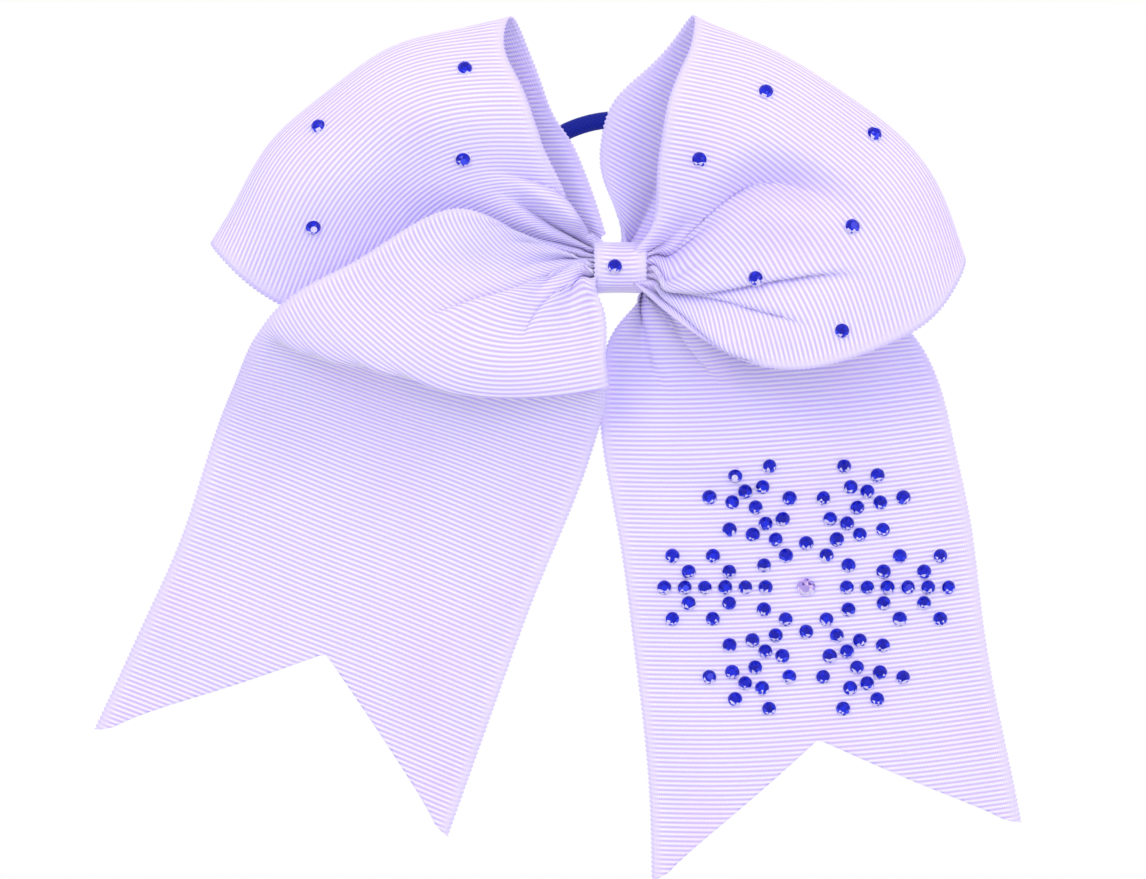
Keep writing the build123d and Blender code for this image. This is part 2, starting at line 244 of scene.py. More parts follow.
class Ribbon:
    """A run of ribbon as it lies, spun between a few of its warp threads."""

    def __init__(self, guides, width=WIDTH, cut=None):
        """guides: {u: (points, index of a marked point, v at that point)}. cut: the lowest v at each u."""
        self.u = ribbon_columns(width)
        us = sorted(guides)
        tracks = []
        for u in us:
            points, mark, v_mark = guides[u]
            path, lengths, marks = smooth_path(points)
            tracks.append((path, lengths, v_mark - marks[mark]))
        across = spline_matrix(us, self.u)
        self.low = across @ np.array([start for _, _, start in tracks])
        self.high = across @ np.array([start + lengths[-1] for _, lengths, start in tracks])
        self.free_end = cut is not None
        if self.free_end:
            self.low = cut(self.u)
        first = math.floor(self.low.min() / RIB) * ROWS_PER_RIB
        last = math.ceil(self.high.max() / RIB) * ROWS_PER_RIB
        self.v = np.arange(first, last + 1) * ROW
        warps = np.array([along(path, lengths, self.v - start) for path, lengths, start in tracks])
        self.grid = np.einsum("ji,ikc->kjc", across, warps)
        for _ in range(SMOOTHING):
            between = (self.grid[:, :-2] + self.grid[:, 2:]) / 2
            self.grid[:, 1:-1] = (self.grid[:, 1:-1] + between) / 2

    def normals(self):
        down = np.gradient(self.grid, axis=0)
        across = np.gradient(self.grid, self.u, axis=1)
        return unit(np.cross(across, down))

    def gather(self, valleys, depth, reach, front_end=False):
        """Pleats with round ridges and sharp valleys, deep at the knot and gone at reach from it."""
        valleys = np.asarray(valleys, float)
        k = np.clip(np.searchsorted(valleys, self.u, side="right") - 1, 0, len(valleys) - 2)
        spacing = valleys[k + 1] - valleys[k]
        ridge = 2 * np.abs(np.sin(math.pi * (self.u - valleys[k]) / spacing)) ** 0.8 - 1
        wave = (depth * ridge * np.minimum(1, spacing / 16))[None, :]
        gap = self.v[:, None] - self.low if front_end else self.high - self.v[:, None]
        self.grid[:, :, 1] -= wave * (1 - smoothstep(gap / reach))

    def crease(self, line, depth, width, layer=None, lap=0.0, sharp=True):
        """A valley (or, with depth below 0, a ridge) along a line of (x, z) places seen from the front.

        It fades out towards the line's end. layer: the span of v that it touches.
        lap folds the cloth on the line's left over it, or, below 0, the cloth on its right.
        """
        line = smooth_path(line, 25)[0]
        gap, where, aside = nearest_on(line, self.grid[:, :, [0, 2]])
        fade = smoothstep((1 - where) / CREASE_FADE) * smoothstep(where / CREASE_RISE + 0.25)
        if layer:
            fade = np.where((self.v[:, None] >= layer[0]) & (self.v[:, None] <= layer[1]), fade, 0)
        shape = np.exp(-gap / width) if sharp else np.exp(-((gap / width) ** 2))
        push = depth * shape
        if lap:
            run = line[-1] - line[0]
            over = (aside @ np.array([-run[1], run[0]])) * math.copysign(1, lap) > 0
            inner = np.exp(-LAP_SHARPNESS * gap / width)
            bulge = LAP_BULGE * abs(lap) * (1 - inner) * shape
            push = np.where(over, depth * inner - bulge, push)
            slide = np.where(over, abs(lap) * fade * (gap / width) * np.exp(1 - gap / width), 0)
            self.grid[:, :, [0, 2]] -= aside * slide[:, :, None]
        self.grid[:, :, 1] += fade * push

    def ripple(self, height, length, seed, count=7, fade=30):
        """The slight unevenness of handled cloth: a few long waves in random directions.

        They fade out towards the knot, and not towards a free end.
        """
        waves = np.random.default_rng(seed)
        shape = np.zeros(self.grid.shape[:2])
        for _ in range(count):
            angle = waves.uniform(0, math.pi)
            turn = TAU / (length * waves.uniform(0.7, 1.6))
            phase = waves.uniform(0, TAU)
            shape += np.sin(turn * (self.u * math.cos(angle) + self.v[:, None] * math.sin(angle)) + phase)
        gap = self.high - self.v[:, None]
        if not self.free_end:
            gap = np.minimum(gap, self.v[:, None] - self.low)
        shape *= height / count**0.5 * smoothstep(gap / fade)
        self.grid += self.normals() * shape[:, :, None]

    def build(self, name):
        """The closed mesh: ribbed on both sides, cut to its outline, with looped selvages."""
        v = self.v[:, None]
        width = self.u[-1]
        inset = np.minimum(self.u, width - self.u)
        wave = np.cos(TAU * v / RIB)
        across = unit(np.gradient(self.grid, self.u, axis=1))
        reach = SCALLOP * np.exp(-inset / 0.4) * np.where(self.u < width / 2, -1, 1)
        middle = self.grid + across * (wave * reach)[:, :, None]
        self.normal = self.normals()
        half = THICKNESS / 2 + RIB_HEIGHT * wave * (1 - 0.35 * np.exp(-inset / 0.5))
        self.front = middle + self.normal * half[:, :, None]
        self.back = middle - self.normal * half[:, :, None]
        rows, columns = half.shape
        low = np.clip(np.searchsorted(self.v, self.low, side="right") - 1, 0, rows - 1)
        high = np.clip(np.searchsorted(self.v, self.high, side="left"), 0, rows - 1)
        for layer in (self.front, self.back):
            for j in range(columns):
                cuts = np.array([self.low[j], self.high[j]])
                layer[[low[j], high[j]], j] = np.stack(
                    [np.interp(cuts, self.v, layer[:, j, c]) for c in range(3)], axis=-1
                )
        index = np.clip(np.arange(rows)[:, None], low, high)
        label = index * columns + np.arange(columns)
        quads = np.stack([label[:-1, :-1], label[:-1, 1:], label[1:, 1:], label[1:, :-1]], -1).reshape(-1, 4)
        left = quads[:, 0] == quads[:, 3]
        right = quads[:, 1] == quads[:, 2]
        near = [quads[~left & ~right], quads[left & ~right][:, :3], quads[~left & right][:, [0, 1, 3]]]
        count = rows * columns
        far = [p[:, ::-1] + count for p in near]
        start, end = rim_of(near, count)
        sides = np.stack([end, start, start + count, end + count], -1)
        cloth = np.zeros((rows, columns, 3))
        cloth[:, :, 0] = self.u
        cloth[:, :, 1] = v
        cloth[:, :, 2] = inset
        cloth = np.concatenate([cloth.reshape(-1, 3)] * 2)
        points = np.concatenate([self.front.reshape(-1, 3), self.back.reshape(-1, 3)])
        return mesh_piece(name, points, near + far + [sides], [("cloth", "FLOAT_VECTOR", "POINT", cloth)])

    def flat_size(self):
        """The width of the flat cloth and its whole length, from its lowest corner to its highest."""
        return float(self.u[-1]) * MM, float(self.high.max() - self.low.min()) * MM

    def flat_area(self):
        spans = self.high - self.low
        return float(((spans[1:] + spans[:-1]) / 2 * np.diff(self.u)).sum()) * MM * MM

    def seat(self, x, z):
        """The place on the ribbon first met along +Y at (x, z), with its normal towards the front."""
        gap = np.hypot(self.front[:, :, 0] - x, self.front[:, :, 2] - z)
        inside = (self.v[:, None] > self.low) & (self.v[:, None] < self.high)
        depth = np.where(inside & (gap < 1.0), self.front[:, :, 1], 1e9)
        k, j = np.unravel_index(np.argmin(depth), depth.shape)
        normal = self.normal[max(k - 5, 0) : k + 6, max(j - 1, 0) : j + 2].mean(axis=(0, 1))
        normal = unit(normal if normal[1] < 0 else -normal)
        middle = (self.front + self.back) / 2
        down = middle[k + ROWS_PER_RIB, j] - middle[k - ROWS_PER_RIB, j]
        across = middle[k, j + 1] - middle[k, j - 1]
        offset = np.array([x, z]) - middle[k, j, [0, 2]]
        a, b = np.linalg.solve(np.stack([down, across], axis=1)[[0, 2]], offset)
        point = middle[k, j] + a * down + b * across
        return point + normal * (THICKNESS / 2 + RIB_HEIGHT), normal


# ---------------------------------------------------------------- warp threads, a few for each run

# each tail's threads run from the line between its two tips up to the knot
LEFT_TAIL = {
    0: [
        (-37, 1.5, -122), (-24.5, 1.5, -87), (-17, 1.2, -67), (-9.5, 0.5, -49), (-4.5, -3, -34.5),
        (-3, -8, -28), (-3, -10.5, -25), (-2.5, -12.5, -24), (-2.5, -14.5, -25.5), (-3, -15.5, -22.5),
        (-3, -15, -15.5), (-3.5, -14.5, -9.5), (-5, -14.5, -3.5), (-1.5, -13, -1),
    ],
    19: [
        (-56, 1.5, -116), (-40.5, 1.5, -78.5), (-32, 0.8, -54.5), (-26, -4, -40), (-24, -8.5, -33.5),
        (-22.5, -11.5, -28.5), (-21.5, -14, -24.5), (-21, -17.5, -23), (-21.5, -20.5, -25),
        (-22, -22.5, -28), (-21, -24, -25), (-18.5, -23, -17), (-13.5, -20, -9), (-8, -16, -3),
        (-1.5, -13, -0.5),
    ],
    38: [
        (-75.5, 1.5, -110), (-58.5, 1.5, -71), (-50.5, 0.5, -47.5), (-45.5, -4.5, -36.5),
        (-43, -9.5, -30.5), (-41, -13, -25.5), (-39.5, -16, -21), (-39, -19.5, -20), (-39, -23, -22),
        (-40, -25, -26), (-37.5, -27, -22.5), (-33, -27, -13.5), (-23.5, -23.5, -5.5),
        (-12.5, -17.5, -1), (-1.5, -13, 0),
    ],
    47.5: [
        (-85, 1.5, -107.5), (-67.5, 1.5, -67.5), (-59.5, 0.2, -44), (-54.5, -5, -33.5),
        (-52, -10, -28), (-50, -14.5, -23), (-49, -17.5, -20.5), (-49, -20.5, -19.5),
        (-49, -23.5, -21.5), (-49.5, -25, -24), (-47.5, -27, -20.5), (-43, -27.4, -13),
        (-34.5, -25.8, -5.5), (-22, -21, 0.5), (-1.5, -13, 0.5),
    ],
    57: [
        (-94, 1.5, -104.5), (-76, 1.5, -64), (-68.5, 0, -40.5), (-64, -6, -30.5), (-61.5, -11.5, -25),
        (-59.5, -15.5, -20.5), (-59, -19, -19.5), (-59, -22, -20.5), (-59, -24, -22),
        (-57, -26.5, -19), (-53, -27.5, -12), (-45, -27.5, -5), (-31.5, -25, 0.5), (-17, -18.5, 2),
        (-1.5, -13, 1),
    ],
    67: [
        (-104, 1.5, -101.5), (-88.5, 1.5, -68.5), (-81, 0.6, -49), (-75.5, -4, -34.5),
        (-71.5, -9.5, -26.5), (-68.5, -14.5, -21), (-68, -18, -18.5), (-68, -21, -19), (-68, -23, -20),
        (-66, -25.5, -16), (-61, -26.5, -10), (-50, -26.7, -2.5), (-37.5, -25.5, 6), (-24, -22, 6),
        (-14, -17, 3), (-1.5, -13, 1),
    ],
    WIDTH: [
        (-113, 1.5, -99), (-101, 1.5, -73), (-94, 1, -57), (-86, -2.5, -33.5), (-81.5, -10, -24),
        (-77.5, -18, -16.5), (-72, -22, -9.5), (-55.5, -25, 0.5), (-43.5, -25.5, 8),
        (-34.5, -25, 11.5), (-27.5, -22.5, 10), (-19, -18.5, 5.5), (-8.5, -15, 3), (-1.5, -13, 1.5),
    ],
}
RIGHT_TAIL = {
    0: [
        (7, 1.5, -131.5), (6.5, 1.5, -113), (3, 1.5, -80), (0.5, 1, -61), (-2.5, 0.5, -44.5),
        (-4, 0.3, -34), (-4, 0, -25), (-3, -1, -17.5), (1, -3, -10.5), (4.5, -4.5, -5), (1.5, -6, -1.5),
    ],
    19: [
        (26.5, 1.5, -130), (22, 1.5, -80.5), (16.5, 0.5, -45), (15, 0, -32.5), (14, -0.5, -22.5),
        (11, -2, -14), (7.5, -4, -7), (1.5, -6, -1.5),
    ],
    38: [
        (46.5, 1.5, -127), (41, 1.5, -80), (35, 0.8, -44), (33.5, 0.5, -32.5), (30.5, -0.5, -21.5),
        (23.5, -2, -13), (15, -4, -6.5), (1.5, -6, -0.5),
    ],
    57: [
        (66.5, 1.5, -123.5), (60, 1.5, -79), (53.5, 1, -41.5), (52, 0.5, -30.5), (48.5, -0.5, -17.5),
        (38.5, -2, -9), (23.5, -4, -3.5), (1.5, -6, 0),
    ],
    WIDTH: [
        (86.5, 1.5, -119), (84, 1.5, -106.5), (78.5, 1.5, -77.5), (75.5, 1.2, -54), (72, 0.8, -37.5),
        (68.5, 0.2, -24), (62.5, -0.5, -13.5), (52.5, -2, -6.5), (36.5, -3.5, -2.5), (19.5, -4.5, -1),
        (1.5, -6, 1.5),
    ],
}

# each loop's threads run from the knot out along the front layer, round the fold, and back behind it,
# and the number before them is which of their places is on the fold
LEFT_LOOP = {
    0: (7, [
        (-2.5, -10.5, 4.5), (-10, -15, 11.5), (-12.5, -18.5, 17), (-15.5, -21.5, 23), (-18.5, -23, 31),
        (-21.5, -22, 38.5), (-24.5, -19, 46), (-23, -14, 52.5), (-20, -9, 47.5), (-17, -7, 40),
        (-13.5, -5.5, 31.5), (-11, -5, 28), (-8.5, -5, 23), (-6, -5.2, 16.5), (-3, -6, 7),
    ]),
    12.7: (6, [
        (-2.5, -10.5, 3), (-17, -15.5, 9.5), (-24, -21, 16.5), (-28.5, -25.5, 23.5), (-32, -27.5, 31),
        (-34.5, -25, 39.5), (-37.5, -14, 49.5), (-32, -6.5, 42), (-24.5, -4.5, 31.5), (-18, -4.3, 22),
        (-13, -4.8, 13.5), (-2.5, -6, 5),
    ]),
    25.4: (6, [
        (-2.5, -10.5, 2.5), (-20, -14.5, 7.5), (-30.5, -19.5, 14.5), (-37.5, -24, 21.5), (-42, -27, 28),
        (-45.5, -25.5, 35.5), (-49.5, -14, 46), (-42.5, -6, 37), (-33, -4.3, 26.5), (-24.5, -4.2, 18),
        (-16, -4.8, 10), (-2.5, -6, 3.5),
    ]),
    38.1: (6, [
        (-2.5, -10.5, 1.5), (-22.5, -13.5, 5.5), (-36, -17.5, 11), (-45, -22, 17.5), (-50.5, -26, 22.5),
        (-55.5, -25.5, 28.5), (-61.5, -14, 37.5), (-52.5, -6, 29.5), (-41.5, -4.3, 20), (-31, -4.2, 12.5),
        (-19, -4.8, 6.5), (-2.5, -6, 2.5),
    ]),
    50.8: (6, [
        (-2.5, -10.5, 0.5), (-23.5, -13, 3), (-39, -16, 6), (-51, -19.5, 10.5), (-58, -23.5, 14.5),
        (-64, -24.5, 20), (-71.5, -14, 28.5), (-61, -6, 20), (-49, -4.4, 13), (-36.5, -4.2, 8),
        (-21.5, -4.8, 4), (-2.5, -6, 1.5),
    ]),
    63.5: (6, [
        (-2.5, -10.5, 0), (-23.5, -13, 0), (-40, -15.5, 1), (-55, -17.5, 3), (-64.5, -20.5, 6.5),
        (-72, -23, 11.5), (-79, -14, 18), (-68, -6.5, 11.5), (-55.5, -4.8, 5.5), (-40.5, -4.4, 2),
        (-22.5, -4.8, 1), (-2.5, -6, 0.5),
    ]),
    WIDTH: (6, [
        (-2.5, -10.5, -1.5), (-29.5, -14.5, -7), (-50.5, -16, -11), (-67.5, -17, -10), (-77, -18, -5),
        (-82.5, -19, 0), (-86.5, -14, 5), (-80, -8.5, 1), (-68, -6.5, -3.5), (-49, -5, -5.5),
        (-25.5, -5, -3.5), (-2.5, -6, -0.5),
    ]),
}
RIGHT_LOOP = {
    0: (7, [
        (2, -14, 2.5), (7, -18, 9.5), (7.5, -21.5, 19), (8.5, -24, 27), (10, -24.5, 34.5),
        (12.5, -22.5, 41), (15, -19, 47.5), (15.5, -15, 53), (12, -11, 49), (5.5, -9, 42), (-1.5, -8, 35),
        (-4, -7.5, 27), (-4, -7.5, 20.5), (-1.5, -8, 13.5), (1.5, -9, 5.5),
    ]),
    12.7: (6, [
        (2, -14, 1.5), (13.5, -21, 7), (18, -25.5, 12), (20.5, -28.5, 19.5), (22, -29, 27.5),
        (24.5, -26, 37), (27, -15, 47.5), (22.5, -9, 41), (15, -7.5, 31.5), (9.5, -7.5, 22),
        (6.5, -8, 13.5), (1.5, -9.3, 4.5),
    ]),
    25.4: (6, [
        (2, -14, 1.5), (16.5, -19, 6.5), (24, -22.5, 12.5), (28, -26.5, 18), (31, -29, 24),
        (34.5, -26, 32), (39, -15, 41.5), (34, -8.5, 35.5), (24.5, -7, 26), (17, -7, 17.5), (10.5, -8, 10),
        (1.5, -9.5, 3),
    ]),
    38.1: (6, [
        (2, -14, 0.5), (23, -20.5, 4.5), (32, -22.5, 10.5), (37, -24.5, 14.5), (40.5, -27, 19),
        (44.5, -25.5, 25), (50, -15, 34.5), (43.5, -8.5, 28), (34, -7, 20), (24.5, -7, 12.5), (15, -8, 6),
        (1.5, -9.6, 2.5),
    ]),
    50.8: (6, [
        (2, -14, 0), (24, -21.5, 0), (36, -25, 3), (44, -25.5, 7.5), (49.5, -26, 12.5), (54, -25, 18),
        (60, -15, 26), (53, -8.5, 20.5), (42.5, -7, 13.5), (31, -7, 7), (18, -8, 2.5), (1.5, -9.6, 1.5),
    ]),
    63.5: (6, [
        (2, -14, -1), (25, -21.5, -8), (38.5, -25, -9), (47.5, -25.5, -5), (55, -26, 0.5),
        (61.5, -24.5, 6.5), (68.5, -15, 14.5), (61.5, -8.5, 9.5), (51, -7.5, 4), (36, -7.5, -1),
        (20, -8.3, -1), (1.5, -9.7, 0.5),
    ]),
    WIDTH: (7, [
        (2, -14, -3), (14.5, -19.5, -13.5), (24, -22, -19.5), (36.5, -24, -22), (50, -24, -19),
        (61, -23, -14), (69, -20, -6.5), (73, -15, 2), (68, -9.5, 0), (57.5, -8.5, -5), (40.5, -8.2, -7),
        (21.5, -8.6, -3.5), (1.5, -9.8, 0),
    ]),
}


def tail_guides(threads, v_first, v_last):
    """v_first and v_last are v on the two selvages where the threads start."""
    return {u: (points, 0, v_first + (v_last - v_first) * u / WIDTH) for u, points in threads.items()}


def loop_guides(threads):
    """On a loop, v is 0 at the fold."""
    return {u: (points, fold, 0.0) for u, (fold, points) in threads.items()}


def swallow_tail(v_first, v_notch, v_last, u_notch):
    """The cut of a tail's end: straight from each tip to a notch."""

    def cut(u):
        return np.interp(u, [0, u_notch, WIDTH], [v_first, v_notch, v_last])

    return cut


# ---------------------------------------------------------------- stones


def brilliant(radius, height, sides=8):
    """A flat-backed cut stone on the XY plane: its corners and its faces."""
    half = math.pi / sides
    rings = [
        (radius * 0.97, 0.0, 0, 2 * sides),
        (radius, 0.16 * height, 0, 2 * sides),
        (radius * 0.80, 0.66 * height, 0.5, sides),
        (radius * 0.46, height, 0, sides),
    ]
    points = []
    starts = []
    for size, level, offset, count in rings:
        starts.append(len(points))
        for k in range(count):
            angle = TAU * (k + offset) / count + half
            points.append((size * math.cos(angle), size * math.sin(angle), level))
    base, girdle, middle, table = starts
    n = 2 * sides
    faces = [tuple(range(base + n - 1, base - 1, -1)), tuple(range(table, table + sides))]
    for k in range(n):
        after = (k + 1) % n
        faces.append((base + k, base + after, girdle + after, girdle + k))
    for k in range(sides):
        after = (k + 1) % sides
        here, mid, there = girdle + 2 * k, girdle + 2 * k + 1, girdle + (2 * k + 2) % n
        faces.append((here, mid, middle + k))
        faces.append((mid, there, middle + k))
        faces.append((there, middle + after, middle + k))
        faces.append((middle + k, table + after, table + k))
        faces.append((middle + k, middle + after, table + after))
    return np.array(points), faces


def frame_at(point, normal, turn):
    """A rotation and an origin that stand things on a surface, turned about its normal."""
    side = unit(np.cross(normal, (0.31, 0.2, 1.0)))
    up = np.cross(normal, side)
    c, s = math.cos(turn), math.sin(turn)
    return np.stack([c * side + s * up, c * up - s * side, normal], axis=1), np.asarray(point)


def joined(name, shapes, facets=True):
    """One object from several (points, faces). Each face gets a random value, higher if it faces down; the
    stone materials turn it into painted facet shade and painted glints.
    """
    points = []
    by_size = {}
    for corners, faces in shapes:
        start = sum(len(p) for p in points)
        points.append(corners)
        for face in faces:
            by_size.setdefault(len(face), []).append([i + start for i in face])
    points = np.concatenate(points)
    polys = [np.array(group) for group in by_size.values()]
    normals = []
    for group in polys:
        first, second, third = points[group[:, 0]], points[group[:, 1]], points[group[:, 2]]
        normals.append(unit(np.cross(second - first, third - first)))
    # faces turned down get higher values, which the stone materials paint as white glints: a painted
    # reflection of light from below
    down_facing_glint = np.clip(-np.concatenate(normals)[:, 2], 0, 0.5)
    facet = 0.6 * rng.random(len(down_facing_glint)) + 1.1 * down_facing_glint
    return mesh_piece(name, points, polys, [("facet", "FLOAT", "FACE", facet)], smooth=not facets)


def set_stones(name, seats, radius=STONE_RADIUS):
    """Cut stones on their seats, each turned and tipped a little, as when they are glued by hand."""
    shapes = []
    for point, normal in seats:
        lean = unit(normal + rng.normal(0, STONE_LEAN, 3))
        turn, origin = frame_at(point, lean, rng.uniform(0, TAU))
        size = radius * rng.uniform(1 - STONE_UNEVEN, 1 + STONE_UNEVEN)
        corners, faces = brilliant(size, STONE_HEIGHT * radius / STONE_RADIUS)
        corners = corners + [0, 0, GLUE_RISE]
        shapes.append((corners @ turn.T + origin, faces))
    return joined(name, shapes)


def glue_bead(radius, phase, sides=20):
    """A low, slightly uneven bead on the XY plane: its corners and its faces."""
    rings = [(1.12, -0.12), (1.08, 0.1), (0.98, 0.2), (0.6, 0.14)]
    points = [(0.0, 0.0, -0.05)]
    for size, level in rings:
        for k in range(sides):
            angle = TAU * k / sides
            uneven = 1 + 0.035 * math.sin(2 * angle + phase[0]) + 0.02 * math.sin(5 * angle + phase[1])
            reach = radius * size * uneven
            points.append((reach * math.cos(angle), reach * math.sin(angle), level))
    points.append((0.0, 0.0, 0.14))
    faces = []
    last = 1 + (len(rings) - 1) * sides
    for k in range(sides):
        after = (k + 1) % sides
        faces.append((0, 1 + after, 1 + k))
        for a in range(1, last, sides):
            faces.append((a + k, a + after, a + sides + after, a + sides + k))
        faces.append((last + k, last + after, len(points) - 1))
    return np.array(points), faces


def set_glue(name, seats):
    """Low beads of glue that show as a narrow ring round each stone."""
    shapes = []
    for point, normal in seats:
        turn, origin = frame_at(point, normal, rng.uniform(0, TAU))
        points, faces = glue_bead(STONE_RADIUS, rng.uniform(0, TAU, 2))
        shapes.append((points @ turn.T + origin, faces))
    return joined(name, shapes, facets=False)


# ---------------------------------------------------------------- hair elastic


def ring_line(count):
    """Evenly spaced places on the elastic's middle line, and their lengths along it."""
    corner = RING_RADIUS - RING_RISE
    straight = 2 * corner
    quarter = RING_RISE * math.pi / 2
    half = RING_RADIUS * math.pi
    total = straight + 2 * quarter + half
    s = np.arange(count) * total / count
    turn_out = (s - straight) / RING_RISE - math.pi / 2
    over = (s - straight - quarter) / RING_RADIUS
    turn_in = (s - straight - quarter - half) / RING_RISE + math.pi
    runs = [s < straight, s < straight + quarter, s < straight + quarter + half]
    x = np.select(
        runs,
        [s - corner, corner + RING_RISE * np.cos(turn_out), RING_RADIUS * np.cos(over)],
        RING_RISE * np.cos(turn_in) - corner,
    )
    z = np.select(
        runs,
        [0 * s, RING_RISE * (1 + np.sin(turn_out)), RING_RISE + RING_RADIUS * np.sin(over)],
        RING_RISE * (1 + np.sin(turn_in)),
    )
    places = np.stack([x, z * math.sin(RING_LEAN), z * math.cos(RING_LEAN)], axis=-1)
    return places, s, total


def braided_ring(name, count=1000, around=48):
    """The elastic's cover: two sets of threads that wind round it both ways, over and under."""
    places, s, total = ring_line(count)
    ahead = unit(np.roll(places, -1, axis=0) - np.roll(places, 1, axis=0))
    plane = np.array([0.0, math.cos(RING_LEAN), -math.sin(RING_LEAN)])
    outward = unit(np.cross(ahead, plane))
    angle = TAU * np.arange(around) / around
    twist = TAU * round(total / BRAID_LAY) * s / total
    over = np.cos(BRAID_THREADS / 2 * angle[None, :] + twist[:, None])
    under = np.cos(BRAID_THREADS / 2 * angle[None, :] - twist[:, None])
    height = np.maximum(np.abs(over) ** 0.7, np.abs(under) ** 0.7)
    radius = STRAND_RADIUS - BRAID_HEIGHT + BRAID_HEIGHT * height
    hidden = (np.abs(places[:, 0]) < SLEEVE_HALF) & (places[:, 2] < 1)
    radius = np.where(hidden[:, None], STRAND_RADIUS - 0.6 * BRAID_HEIGHT, radius)
    spokes = np.cos(angle)[None, :, None] * outward[:, None, :] + np.sin(angle)[None, :, None] * plane
    points = (places[:, None, :] + spokes * radius[:, :, None]).reshape(-1, 3)
    here = np.arange(count * around).reshape(count, around)
    ahead_of = np.roll(here, -1, axis=0)
    faces = np.stack([here, ahead_of, np.roll(ahead_of, -1, axis=1), np.roll(here, -1, axis=1)], -1)
    braid = np.zeros((count, around, 3))
    braid[:, :, 0] = height
    braid[:, :, 1] = s[:, None]
    cloth = ("cloth", "FLOAT_VECTOR", "POINT", braid.reshape(-1, 3))
    return mesh_piece(name, points, [faces.reshape(-1, 4)], [cloth])


# ---------------------------------------------------------------- materials


class Look:
    """A node material and short ways to add to it."""

    def __init__(self, name, roughness, settings=()):
        self.material = bpy.data.materials.new(name)
        self.material.use_nodes = True
        self.tree = self.material.node_tree
        self.shader = self.tree.nodes["Principled BSDF"]
        self.shader.inputs["Roughness"].default_value = roughness
        for socket, value in dict(settings).items():
            self.shader.inputs[socket].default_value = value

    def node(self, kind, **settings):
        made = self.tree.nodes.new(kind)
        for key, value in settings.items():
            setattr(made, key, value)
        return made

    def feed(self, socket, value):
        if hasattr(value, "is_linked"):
            self.tree.links.new(value, socket)
        else:
            socket.default_value = value

    def parts_of(self, name):
        """The three numbers of a vector attribute."""
        made = self.node("ShaderNodeSeparateXYZ")
        self.tree.links.new(self.attribute(name).outputs["Vector"], made.inputs[0])
        return made.outputs

    def wave(self, scale, direction, distortion=0.0):
        made = self.node("ShaderNodeTexWave", bands_direction=direction)
        made.inputs["Scale"].default_value = scale
        made.inputs["Distortion"].default_value = distortion
        self.tree.links.new(self.node("ShaderNodeTexCoord").outputs["Object"], made.inputs["Vector"])
        return made.outputs["Fac"]

    def math(self, operation, *values):
        made = self.node("ShaderNodeMath", operation=operation)
        for socket, value in zip(made.inputs, values):
            self.feed(socket, value)
        return made.outputs[0]

    def blend(self, factor, first, second):
        made = self.node("ShaderNodeMix", data_type="RGBA")
        self.feed(made.inputs[0], factor)
        self.feed(made.inputs[6], first)
        self.feed(made.inputs[7], second)
        return made.outputs[2]

    def noise(self, scale, detail):
        made = self.node("ShaderNodeTexNoise")
        made.inputs["Scale"].default_value = scale
        made.inputs["Detail"].default_value = detail
        self.tree.links.new(self.node("ShaderNodeTexCoord").outputs["Object"], made.inputs["Vector"])
        return made.outputs["Fac"]

    def between(self, value, low, high):
        """0 where value is low or less, 1 where it is high or more."""
        made = self.node("ShaderNodeMapRange")
        self.feed(made.inputs[0], value)
        made.inputs[1].default_value = low
        made.inputs[2].default_value = high
        return made.outputs[0]

    def attribute(self, name):
        return self.node("ShaderNodeAttribute", attribute_name=name)

    def bump(self, height, distance, strength=1.0):
        made = self.node("ShaderNodeBump")
        made.inputs["Strength"].default_value = strength
        made.inputs["Distance"].default_value = distance
        self.tree.links.new(height, made.inputs["Height"])
        return made.outputs["Normal"]

    def finish(self, colour, normal=None, roughness=None):
        self.feed(self.shader.inputs["Base Color"], colour)
        if normal is not None:
            self.tree.links.new(normal, self.shader.inputs["Normal"])
        if roughness is not None:
            self.tree.links.new(roughness, self.shader.inputs["Roughness"])
        return self.material


def rgba(colour, scale=1.0):
    return (*[scale * c for c in colour], 1)


